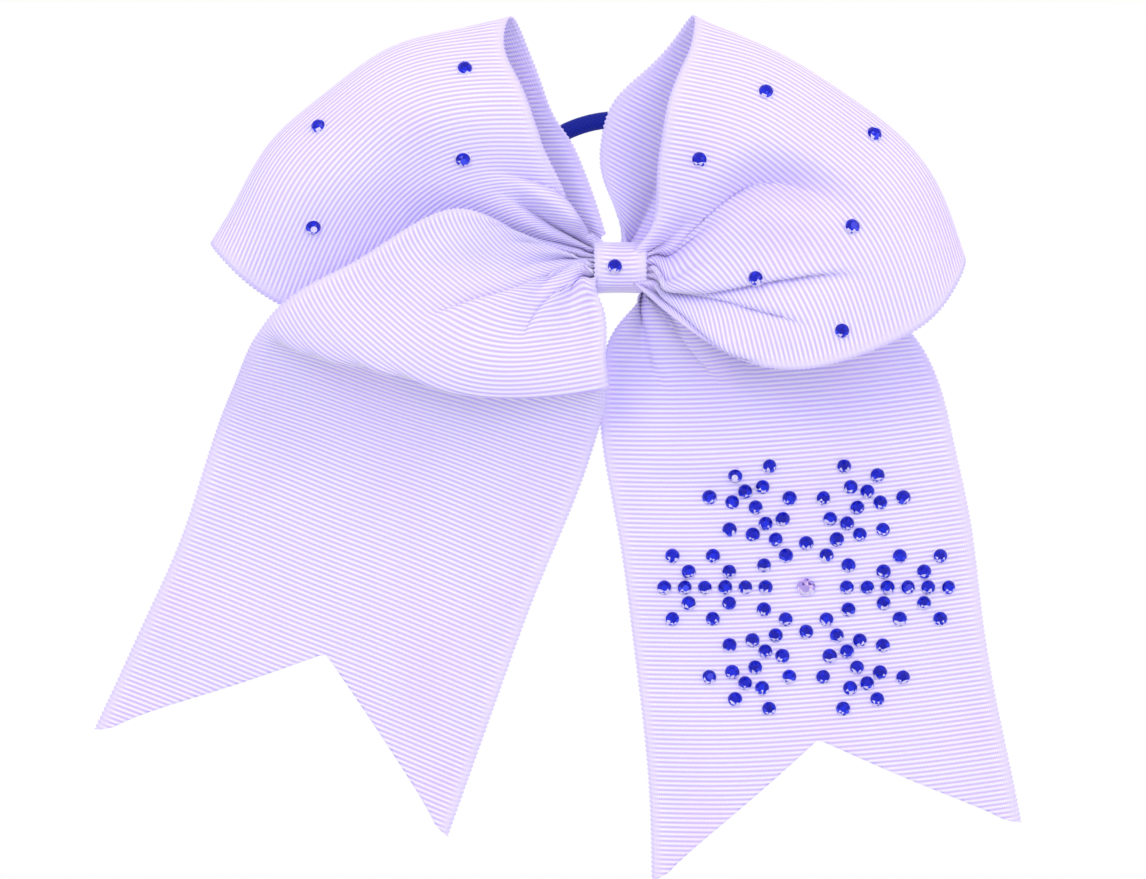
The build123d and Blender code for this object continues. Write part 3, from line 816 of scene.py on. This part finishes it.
def grosgrain():
    """Pale lavender ribbon: a rib every millimetre, with painted shade between the ribs, darker and more
    violet, and fine warp threads.
    """
    # the ridge colour is the ribbon's own pale lavender; the valley colour, darker and more violet, is
    # painted shade between the ribs
    ridge = (0.92, 0.94, 1.0)
    valley = (0.56, 0.45, 0.99)
    # the selvage gets the mean of the ridge colour and the painted valley shade
    selvage = [(a + b) / 2 for a, b in zip(ridge, valley)]
    look = Look("grosgrain", 0.55, {"Sheen Weight": 0.1, "Sheen Roughness": 0.4, "Specular IOR Level": 0.3})
    u, v, inset = look.parts_of("cloth")
    wave = look.math("COSINE", look.math("MULTIPLY", v, TAU / RIB))
    # the mask of the painted rib shade: 0 on a rib's ridge, 1 in the valley between ribs
    rib_valley_shade = look.math("POWER", look.math("MULTIPLY_ADD", wave, -0.5, 0.5), 1.2)
    thread = look.math("COSINE", look.math("MULTIPLY", u, TAU / THREAD_PITCH))
    soft = look.noise(70, 4)
    fine = look.noise(2600, 2)
    pink = look.between(look.noise(38, 2), 0.52, 0.75)
    top = look.blend(look.between(soft, 0.35, 0.7), rgba(ridge), rgba(ridge, 0.955))
    top = look.blend(look.math("MULTIPLY", pink, 0.4), top, (0.90, 0.77, 0.98, 1))
    low = look.blend(look.between(soft, 0.3, 0.7), rgba(valley), rgba(valley, 1.06))
    rib_shade_and_grain = look.math("ADD", look.math("MULTIPLY", rib_valley_shade, 0.85), look.math("MULTIPLY", fine, 0.12))
    colour = look.blend(rib_shade_and_grain, top, low)
    colour = look.blend(look.between(inset, 1.3, 0.2), colour, rgba(selvage))
    height = look.math("MULTIPLY_ADD", thread, 0.5, look.math("MULTIPLY", fine, 0.8))
    return look.finish(colour, look.bump(height, 0.00004, 0.7), look.math("MULTIPLY_ADD", fine, 0.16, 0.46))


def packed_cloth():
    """The gathered ribbon inside the knot: the same cloth in tight folds, with painted shade in the folds."""
    look = Look("packed_cloth", 0.6, {"Sheen Weight": 0.25})
    fold = look.wave(260, "Z", 2.5)
    # the dark violet is painted shade in the folds; the pale lavender is the cloth's own colour
    colour = look.blend(fold, (0.52, 0.40, 0.90, 1), (0.86, 0.80, 1.0, 1))
    return look.finish(colour, look.bump(fold, 0.0003))


def cut_glass(name, stops, metallic):
    """Foil-backed cut glass: each facet has one of the stops' colours, by its own value, as painted facet
    shade and painted glints over the glass's own colour.
    """
    settings = {"Metallic": metallic, "Specular IOR Level": 0.3, "Coat Weight": 0.15, "Coat Roughness": 0.03}
    look = Look(name, 0.08, settings)
    ramp = look.node("ShaderNodeValToRGB")
    ramp.color_ramp.interpolation = "CONSTANT"
    elements = ramp.color_ramp.elements
    while len(elements) < len(stops):
        elements.new(0.5)
    for element, (place, colour) in zip(elements, stops):
        element.position = place
        element.color = rgba(colour)
    look.tree.links.new(look.attribute("facet").outputs["Fac"], ramp.inputs[0])
    cloud = look.between(look.noise(1500, 2), 0.3, 0.75)
    deeper = look.node("ShaderNodeMix", data_type="RGBA", blend_type="MULTIPLY")
    deeper.inputs[0].default_value = 1.0
    look.tree.links.new(ramp.outputs[0], deeper.inputs[6])
    look.feed(deeper.inputs[7], look.blend(cloud, (0.72, 0.74, 0.85, 1), (1.0, 1.0, 1.0, 1)))
    return look.finish(deeper.outputs[2])


def blue_glass():
    # royal blue is the glass's own colour; the darker navy stops are painted shade on some facets, the bright
    # blue and near white stops painted highlights and glints
    stops = (
        (0.0, (0.0, 0.004, 0.36)),
        (0.3, (0.0, 0.008, 0.50)),
        (0.5, (0.002, 0.02, 0.68)),
        (0.7, (0.05, 0.08, 0.90)),
        (0.82, (0.84, 0.80, 1.0)),
    )
    return cut_glass("royal_blue_glass", stops, metallic=0.15)


def clear_glass():
    # pale pink is the glass's own colour; the dark and mid violet stops are painted shade on some facets, the
    # white stop painted glints
    stops = (
        (0.0, (0.14, 0.07, 0.34)),
        (0.14, (0.50, 0.40, 0.78)),
        (0.35, (0.82, 0.62, 0.82)),
        (0.6, (0.93, 0.86, 0.97)),
        (0.85, (1.0, 0.98, 1.0)),
    )
    return cut_glass("pink_clear_glass", stops, metallic=0.2)


def glue_look(name):
    look = Look(name, 0.18, {"Coat Weight": 0.6, "IOR": 1.47})
    cloud = look.noise(900, 3)
    colour = look.blend(look.between(cloud, 0.35, 0.7), (0.62, 0.60, 0.80, 1), (0.80, 0.76, 0.95, 1))
    return look.finish(colour, look.bump(cloud, 0.00008))


def braid_look():
    look = Look("navy_braid", 0.7, {"Specular IOR Level": 0.2})
    height = look.between(look.parts_of("cloth")[0], 0.25, 1.0)
    fuzz = look.noise(3200, 3)
    # the lighter navy is the braid's own colour, painted darker where the braid sinks between its threads:
    # painted shade
    shade = look.blend(height, (0.0, 0.003, 0.10, 1), (0.001, 0.012, 0.26, 1))
    colour = look.blend(look.math("MULTIPLY", fuzz, 0.25), shade, (0.004, 0.022, 0.34, 1))
    return look.finish(colour, look.bump(fuzz, 0.00006), look.math("MULTIPLY_ADD", fuzz, 0.3, 0.45))


def thread_look():
    look = Look("lavender_thread", 0.5, {"Sheen Weight": 0.15})
    lay = look.wave(900, "DIAGONAL")
    # the darker bands along the thread's lay are painted shade in the grooves between its turns; the pale
    # lavender is its own colour
    colour = look.blend(lay, (0.45, 0.36, 0.75, 1), (0.80, 0.74, 0.98, 1))
    return look.finish(colour, look.bump(lay, 0.00008))


def rubber_look():
    look = Look("latex_core", 0.65)
    grain = look.noise(1800, 4)
    colour = look.blend(look.between(grain, 0.3, 0.7), (0.50, 0.44, 0.34, 1), (0.66, 0.60, 0.48, 1))
    return look.finish(colour, look.bump(grain, 0.00005))


def sleeve_look():
    look = Look("crimped_sleeve", 0.35, {"Specular IOR Level": 0.5})
    grain = look.noise(1200, 4)
    colour = look.blend(look.between(grain, 0.35, 0.65), (0.004, 0.01, 0.10, 1), (0.01, 0.03, 0.24, 1))
    return look.finish(colour, look.bump(grain, 0.00004))


def dress(piece, material):
    piece.data.materials.clear()
    piece.data.materials.append(material)


def dress_node(node, material):
    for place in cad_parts[node].material_slots:
        place.material = material


# ---------------------------------------------------------------- the folded runs of ribbon

FRONT = (-200, 0)  # the span of v that holds a loop's front layer


def left_tail():
    ribbon = Ribbon(tail_guides(LEFT_TAIL, 6.0, -1.0), cut=swallow_tail(6.0, 32.5, -1.0, 38.4))
    ribbon.gather((-10, 10, 26, 44, 62, 86), 2.4, 30)
    puff = (95, 220)
    ribbon.crease([(-6, -0.5), (-12.5, -2), (-23, -6), (-35.5, -9.5), (-45, -12.5)], 2.0, 2.4, puff, lap=2.2)
    ribbon.crease([(-6.5, -2.5), (-15, -7.5), (-20.5, -15), (-22.5, -18)], 2.0, 2.2, puff, lap=1.6)
    ribbon.crease([(-6.5, 1.5), (-21, 1.5), (-38, -1), (-46, -3.5)], 2.2, 4.0, puff, sharp=False)
    ribbon.crease([(-5.5, 0.5), (-17, 4.5), (-27.5, 9), (-31.5, 10.5)], 1.8, 1.8, puff, lap=1.2)
    ribbon.crease([(-5, -4.5), (-6.5, -9.5), (-6, -17), (-6.5, -22.5)], 1.4, 1.4, puff)
    ribbon.ripple(0.35, 34, seed=3)
    return ribbon


def right_tail():
    ribbon = Ribbon(tail_guides(RIGHT_TAIL, 0.0, 7.0), cut=swallow_tail(0.0, 29.5, 7.0, 37.0))
    ribbon.gather((-8, 9, 25, 42, 60, 84), 2.2, 34)
    ribbon.crease([(6.5, -3.5), (15, -13), (25, -22.5), (38.5, -27)], -2.5, 7.0, sharp=False)
    ribbon.crease([(4.5, -4), (9, -9), (15, -16.5), (24, -28)], 1.8, 1.8, lap=1.5)
    ribbon.crease([(5.5, -2.5), (17.5, -9), (25.5, -17.5), (30, -28)], 1.8, 1.8, lap=1.5)
    ribbon.crease([(6.5, -2), (25, -9), (39, -16.5), (47, -25)], 1.6, 2.2, lap=1.2)
    ribbon.crease([(3.5, -5.5), (5.5, -13), (7.5, -21.5), (11.5, -28)], 1.2, 1.4, lap=0.8)
    ribbon.crease([(51.5, -45.5), (39, -40), (30, -41), (15, -40), (-1.5, -42.5)], -1.1, 3.6, sharp=False)
    ribbon.crease([(27, -48.5), (11, -47), (-1.5, -47.5)], 0.7, 3.4, sharp=False)
    ribbon.ripple(0.3, 40, seed=5)
    return ribbon


def left_loop():
    ribbon = Ribbon(loop_guides(LEFT_LOOP))
    ribbon.gather((-9, 12, 30, 47, 63, 85), 2.0, 36, front_end=True)
    ribbon.gather((-9, 14, 33, 52, 86), 1.6, 34)
    ribbon.crease([(-12, 21), (-29.5, 22), (-46, 24), (-66, 21)], 1.2, 6.0, FRONT, sharp=False)
    ribbon.crease([(-6, 5.5), (-9.5, 12), (-17, 17), (-29, 20)], 3.6, 2.4, FRONT, lap=0.7)
    ribbon.crease([(-6, 4), (-15, 9), (-24, 14.5), (-28.5, 16.5)], 3.2, 2.2, FRONT, lap=0.6)
    ribbon.crease([(-8, 9), (-15, 13.5), (-24, 17)], -2.4, 2.6, FRONT, sharp=False)
    ribbon.ripple(0.35, 36, seed=11)
    return ribbon


def right_loop():
    ribbon = Ribbon(loop_guides(RIGHT_LOOP))
    ribbon.gather((-10, 8, 22, 37, 50, 60, 70, 84), 1.7, 26, front_end=True)
    ribbon.gather((-9, 14, 33, 52, 86), 1.6, 34)
    bowl = [(6, 1), (16.5, 9), (28.5, 17), (37.5, 16), (48, 10.5)]
    ribbon.crease([(6, 1), (20, 6), (32, 10), (42.5, 8.5), (50, 1)], -3.2, 5.5, FRONT, sharp=False)
    ribbon.crease(bowl + [(55, 0.5)], 3.6, 4.2, FRONT, sharp=False)
    ribbon.crease(bowl, 3.2, 2.2, FRONT)
    ribbon.crease([(7, -1.5), (16.5, -2.5), (28.5, -2), (43.5, -2), (54, -2.5)], 3.2, 2.4, FRONT, lap=2.6)
    ribbon.crease([(7, -2.5), (16.5, -5), (27, -8), (42, -14)], 2.0, 2.2, FRONT, lap=1.8)
    ribbon.crease([(7, -4.5), (14.5, -11), (23, -18), (34, -22)], 2.4, 2.2, FRONT, lap=1.8)
    ribbon.crease([(6, 2), (10.5, 6), (14.5, 9.5), (17.5, 11)], 1.4, 1.4, FRONT)
    ribbon.ripple(0.35, 36, seed=13)
    return ribbon


def knot_wrap():
    """The strip round the knot: from its inner end at the back, over, down the front, and back over."""
    section = [
        (2.7, -3.2), (2.9, 0), (2.6, 3.3), (0.4, 4.4), (-6, 4.8), (-11, 4.9), (-14.4, 4.2), (-16.4, 2.5),
        (-17.3, 0.2), (-16.6, -2.3), (-14.6, -4.1), (-11, -4.8), (-6, -4.7), (0.5, -4.5), (3.1, -3.2),
        (3.4, 0), (3.3, 3.2),
    ]
    guides = {}
    for u, squeeze in ((0, 1.06), (WRAP_WIDTH / 2, 0.96), (WRAP_WIDTH, 1.05)):
        guides[u] = ([(u - WRAP_WIDTH / 2, y, z * squeeze) for y, z in section], 0, 0.0)
    return Ribbon(guides, width=WRAP_WIDTH)


# ---------------------------------------------------------------- the snowflake's places


def snow_place(along_arm, across_arm, turn):
    """A place on the right tail, given along and across one arm of the snowflake, in stone pitches."""
    angle = math.radians(turn)
    x = SNOW_X + SNOW_PITCH * (along_arm * math.cos(angle) - across_arm * math.sin(angle))
    z = SNOW_Z + SNOW_SQUASH * SNOW_PITCH * (along_arm * math.sin(angle) + across_arm * math.cos(angle))
    return x, z


def arm_places(turn):
    places = [snow_place(k, 0, turn) for k in range(ARM_FIRST, ARM_LAST + 1)]
    for start in BRANCH_STARTS:
        for side in (-1, 1):
            for j in range(1, BRANCH_STONES + 1):
                places.append(snow_place(start + BRANCH_ALONG * j, side * BRANCH_ACROSS * j, turn))
    return places


# ---------------------------------------------------------------- the pieces; the knot wrap, stones, glue and braid each on its body

RIBBON = grosgrain()
BLUE = blue_glass()
CLEAR = clear_glass()
GLUE = glue_look("fabric_glue")


def place_piece(piece, look, body, nodes):
    dress(piece, look)
    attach(piece, body)
    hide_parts(*nodes)


def place_ribbon(ribbon, name, nodes, body, start, end):
    """A sheet of ribbon, built, dressed and fixed where it lies, with its CAD nodes hidden. body, and start
    and end in metres, are not used.
    """
    piece = ribbon.build(name)
    dress(piece, RIBBON)
    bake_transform(piece)
    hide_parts(*nodes)
    ribbon.flat_size()
    ribbon.flat_area()


def place_wrap(ribbon):
    piece = ribbon.build("knot_wrap_ribbon")
    place_piece(piece, RIBBON, "knot", ["knot_wrap"])
    area = ribbon.flat_area()
    ribbon.flat_size()


def place_stones(node, body, seats, look=BLUE, radius=STONE_RADIUS):
    place_piece(set_stones(node + "_faceted", seats, radius), look, body, [node])


def place_glue(node, body, seats):
    place_piece(set_glue(node + "_beads", seats), GLUE, body, [node])


def place_snowflake(ribbon):
    body = "right_tail"
    seats = []
    for arm in range(SNOW_ARMS):
        arm_seats = [ribbon.seat(*place) for place in arm_places(arm * ARM_TURN)]
        place_stones(f"snowflake_arm_{arm + 1}", body, arm_seats)
        seats += arm_seats
    turns = [(arm + 0.5) * ARM_TURN for arm in range(SNOW_ARMS)]
    ring_seats = [ribbon.seat(*snow_place(RING_STEPS, 0, turn)) for turn in turns]
    place_stones("snowflake_ring_stones", body, ring_seats)
    centre = ribbon.seat(SNOW_X, SNOW_Z)
    place_stones("snowflake_centre_stone", body, [centre], CLEAR, CENTRE_STONE_RADIUS)
    place_glue("snowflake_glue_dots", body, seats + ring_seats + [centre])


tail_l = left_tail()
tail_r = right_tail()
loop_l = left_loop()
loop_r = right_loop()
wrap = knot_wrap()

left_tail_bend = ("left_tail", (-0.0419, -0.018, -0.0145), (-0.0401, -0.015, -0.0291))
right_tail_bend = ("right_tail", (0.0329, 0.0005, -0.0196), (0.0297, 0.001, -0.036))
left_loop_bend = ("left_loop", (-0.0065, -0.008, 0), (-0.015, -0.008, 0))
right_loop_bend = ("right_loop", (0.0065, -0.012, 0), (0.015, -0.012, 0))
place_ribbon(tail_l, "left_tail_ribbon", ["left_tail_head", "left_tail"], *left_tail_bend)
place_ribbon(tail_r, "right_tail_ribbon", ["right_tail_head", "right_tail"], *right_tail_bend)
place_ribbon(loop_l, "left_loop_ribbon", ["left_loop"], *left_loop_bend)
place_ribbon(loop_r, "right_loop_ribbon", ["right_loop"], *right_loop_bend)
place_wrap(wrap)

left_seats = [loop_l.seat(*place) for place in LEFT_LOOP_STONES]
right_seats = [loop_r.seat(*place) for place in RIGHT_LOOP_STONES]
knot_seats = [wrap.seat(*KNOT_STONE)]
place_stones("left_loop_stones", "left_loop", left_seats)
place_glue("left_loop_glue_dots", "left_loop", left_seats)
place_stones("right_loop_stones", "right_loop", right_seats)
place_glue("right_loop_glue_dots", "right_loop", right_seats)
place_stones("knot_stone", "knot", knot_seats)
place_glue("knot_stone_glue", "knot", knot_seats)
place_snowflake(tail_r)

place_piece(braided_ring("elastic_cover_braid"), braid_look(), "hair_elastic", ["elastic_cover"])

dress_node("gather_core", packed_cloth())
dress_node("binding_thread", thread_look())
dress_node("glue_pad", glue_look("hot_glue"))
dress_node("elastic_core", rubber_look())
dress_node("elastic_sleeve", sleeve_look())


# ---------------------------------------------------------------- stage, light and camera

MIDDLE = (-0.01, 0, -0.03)
LAMP_COLOUR = (1.0, 0.98, 1.0)
LAMPS = (
    ("key", (-0.45, -1.0, 0.45), 0.5, 2.5),
    ("fill", (0.65, -0.95, 0.32), 0.7, 2.6),
    ("low", (0.15, -0.9, -0.7), 0.7, 4.1),
    ("back", (0.2, 1.0, 0.5), 0.8, 5.0),
)


def area_light(name, place, size, power):
    light = bpy.data.lights.new(name, "AREA")
    light.shape = "DISK"
    light.size = size
    light.energy = power
    light.color = LAMP_COLOUR
    lamp = bpy.data.objects.new(name, light)
    lamp.location = place
    lamp.rotation_euler = (Vector(MIDDLE) - Vector(place)).to_track_quat("-Z", "Y").to_euler()
    bpy.context.scene.collection.objects.link(lamp)


def floor_disc():
    """A pale floor, tinted against the violet of the world's light, so that it looks neutral."""
    radius = 1300.0
    level = -300.0
    sides = 96
    angle = TAU * np.arange(sides) / sides
    points = np.stack([radius * np.cos(angle), radius * np.sin(angle), np.full(sides, level)], axis=-1)
    floor = mesh_piece("floor", points, [np.arange(sides)[None, :]], smooth=False)
    look = Look("pale_floor", 0.75)
    grain = look.noise(9, 3)
    dress(floor, look.finish(look.blend(grain, (0.585, 0.615, 0.51, 1), (0.635, 0.665, 0.55, 1))))


def studio_world():
    """The camera sees a white backdrop, and the light from all round is slightly violet."""
    world = bpy.data.worlds.new("studio")
    bpy.context.scene.world = world
    world.use_nodes = True
    tree = world.node_tree
    seen = tree.nodes["Background"]
    seen.inputs["Color"].default_value = (1.0, 1.0, 1.0, 1)
    seen.inputs["Strength"].default_value = 1.0
    glow = tree.nodes.new("ShaderNodeBackground")
    glow.inputs["Color"].default_value = (0.835, 0.76, 1.0, 1)
    glow.inputs["Strength"].default_value = 1.13
    ray = tree.nodes.new("ShaderNodeLightPath")
    mix = tree.nodes.new("ShaderNodeMixShader")
    tree.links.new(ray.outputs["Is Camera Ray"], mix.inputs["Fac"])
    tree.links.new(glow.outputs["Background"], mix.inputs[1])
    tree.links.new(seen.outputs["Background"], mix.inputs[2])
    tree.links.new(mix.outputs["Shader"], tree.nodes["World Output"].inputs["Surface"])


def camera():
    """Straight on from the front, as in the photo."""
    data = bpy.data.cameras.new("camera")
    data.sensor_width = 36.0
    data.lens = 116.9
    view = bpy.data.objects.new("camera", data)
    view.location = (-0.010, -0.800, -0.0366)
    view.rotation_euler = (math.pi / 2, 0, 0)
    bpy.context.scene.collection.objects.link(view)
    bpy.context.scene.camera = view


floor_disc()
studio_world()
camera()
for lamp_settings in LAMPS:
    area_light(*lamp_settings)
bpy.context.scene.view_settings.view_transform = "Standard"
